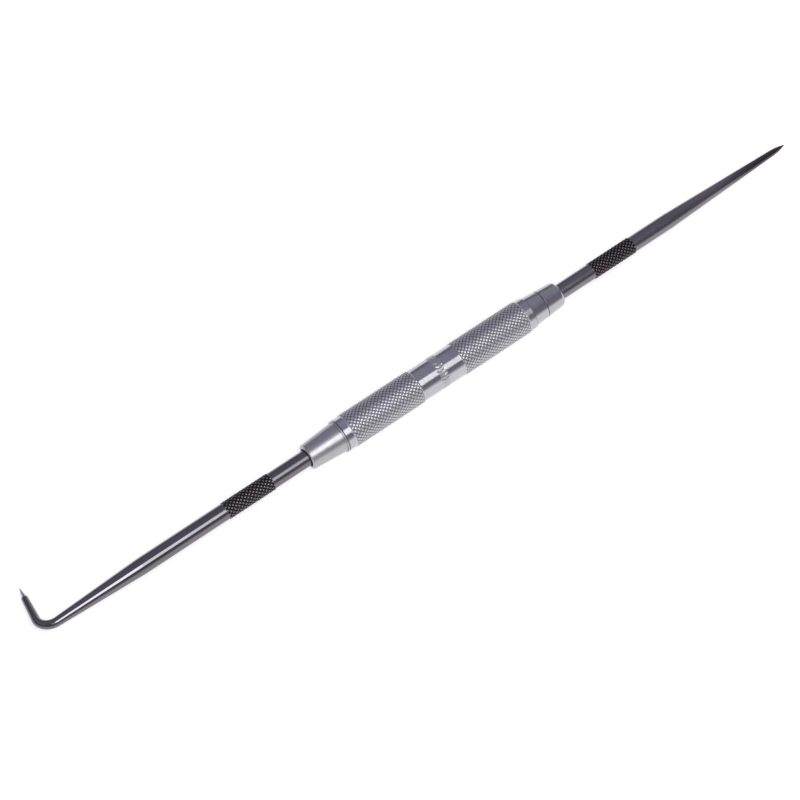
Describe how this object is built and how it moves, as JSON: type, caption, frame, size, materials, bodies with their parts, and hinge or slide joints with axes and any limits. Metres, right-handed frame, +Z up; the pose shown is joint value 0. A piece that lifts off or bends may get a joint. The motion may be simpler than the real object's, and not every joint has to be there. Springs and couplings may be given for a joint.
{
  "type": "double-ended scriber",
  "caption": "Pencil-slim metal marking tool: a knurled handle with tapered noses, a straight needle point screwed into one end and a hooked point into the other.",
  "frame": {"origin": "on the tool's axis, at the middle of the handle's smooth waist", "axes": "+X runs along the tool towards the straight point's tip; the tool lies on its side, with the hook reaching over +Y and down to the surface; +Z is up from the surface it lies on"},
  "size_m": [0.2456, 0.0202, 0.0096],
  "materials": {
    "satin_nickel": "satin nickel plate, with fine diamond knurling",
    "bright_nickel": "bright turned nickel plate",
    "brass": "turned",
    "spring_steel": "oiled",
    "dark_tool_steel": "polished, blackened and hardened"
  },
  "bodies": {
    "handle": {"barrel": "satin_nickel", "bent_end_nose": "bright_nickel", "straight_end_collar": "bright_nickel", "straight_end_cap": "bright_nickel", "bent_end_bush": "brass", "straight_end_bush": "brass"},
    "bent_end_washer": {"bent_end_lock_washer": "spring_steel"},
    "bent_scriber_point": {"bent_point": "dark_tool_steel"},
    "straight_end_washer": {"straight_end_lock_washer": "spring_steel"},
    "straight_scriber_point": {"straight_point": "dark_tool_steel"}
  },
  "joints": [
    {"name": "bent_point_travel", "type": "slide", "parent": "handle", "child": "bent_end_washer", "axis": [-1, 0, 0], "range_m": [0, 0.0042]},
    {"name": "bent_point_turn", "type": "hinge", "parent": "bent_end_washer", "child": "bent_scriber_point", "pos_m": [-0.0416, 0, 0], "axis": [-1, 0, 0], "range_deg": [0, 2520]},
    {"name": "straight_point_travel", "type": "slide", "parent": "handle", "child": "straight_end_washer", "axis": [1, 0, 0], "range_m": [0, 0.0042]},
    {"name": "straight_point_turn", "type": "hinge", "parent": "straight_end_washer", "child": "straight_scriber_point", "pos_m": [0.0416, 0, 0], "axis": [1, 0, 0], "range_deg": [0, 2520]}
  ],
  "couplings": [
    {"joint": "bent_point_turn", "follows": "bent_point_travel", "rad_per_m": 10472},
    {"joint": "straight_point_turn", "follows": "straight_point_travel", "rad_per_m": 10472}
  ]
}
